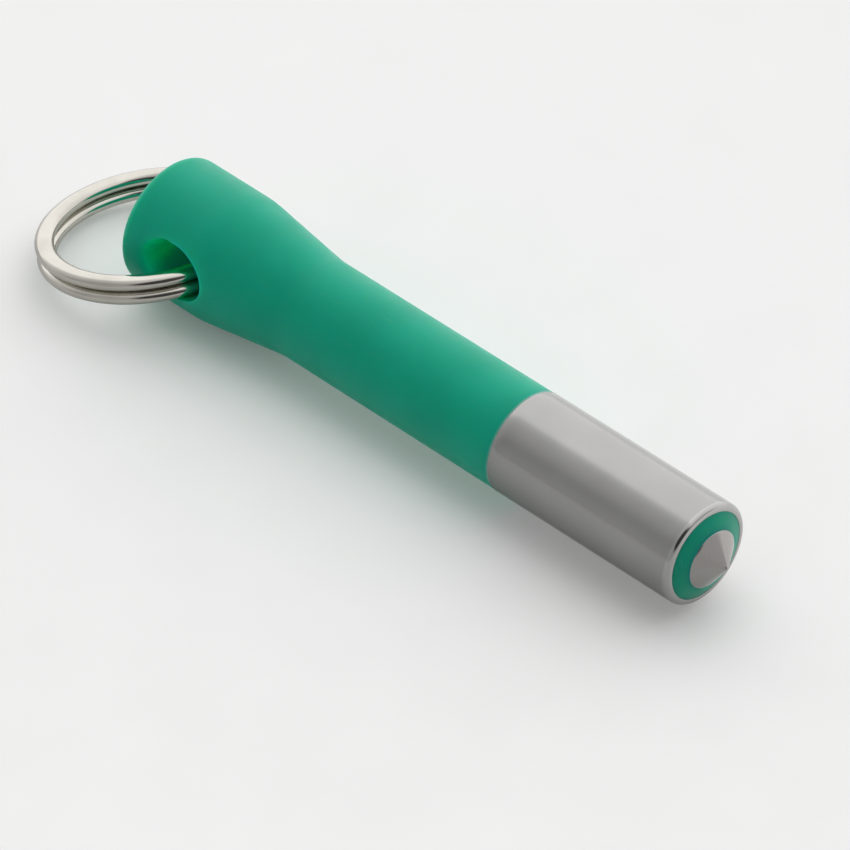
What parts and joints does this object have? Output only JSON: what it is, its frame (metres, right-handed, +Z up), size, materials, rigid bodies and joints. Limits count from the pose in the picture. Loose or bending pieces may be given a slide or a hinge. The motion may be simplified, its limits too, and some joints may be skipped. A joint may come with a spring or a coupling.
{
  "type": "security tag detacher",
  "caption": "Handheld magnetic tag detacher: round moulded grip with a split ring through its head, and a steel sleeve holding magnets behind a pointed pole tip.",
  "frame": {"origin": "centre of the flat end face of the grip's head, on the key's axis", "axes": "+X along the key's axis towards the pointed tip, +Z up, +Y across, close to the line of the cross hole; the key lies on its side"},
  "size_m": [0.1021, 0.0269, 0.016],
  "materials": {
    "grip_plastic": "satin moulded green plastic",
    "liner_plastic": "moulded green plastic",
    "sleeve_steel": "satin polished stainless tube with a rounded rim",
    "tip_steel": "lathe-turned steel",
    "plated_magnet": "nickel-plated",
    "soft_steel": "plain machined steel",
    "pad_rubber": "matt black rubber",
    "ring_nickel": "bright nickel-plated wire"
  },
  "bodies": {
    "key_body": {"grip": "grip_plastic", "sleeve": "sleeve_steel", "magnet_carrier": "liner_plastic", "tip_pole": "tip_steel", "magnet_1": "plated_magnet", "magnet_2": "plated_magnet", "magnet_3": "plated_magnet", "magnet_4": "plated_magnet", "pole_disc_1": "soft_steel", "pole_disc_2": "soft_steel", "pole_disc_3": "soft_steel", "back_plate": "soft_steel", "rubber_pad": "pad_rubber"},
    "ring": {"split_ring": "ring_nickel"}
  },
  "joints": [
    {"name": "ring_swing", "type": "hinge", "parent": "key_body", "child": "ring", "pos_m": [0.00855, 0, 0], "axis": [0, 0.9905, -0.1374], "range_deg": [-144, 171]}
  ]
}
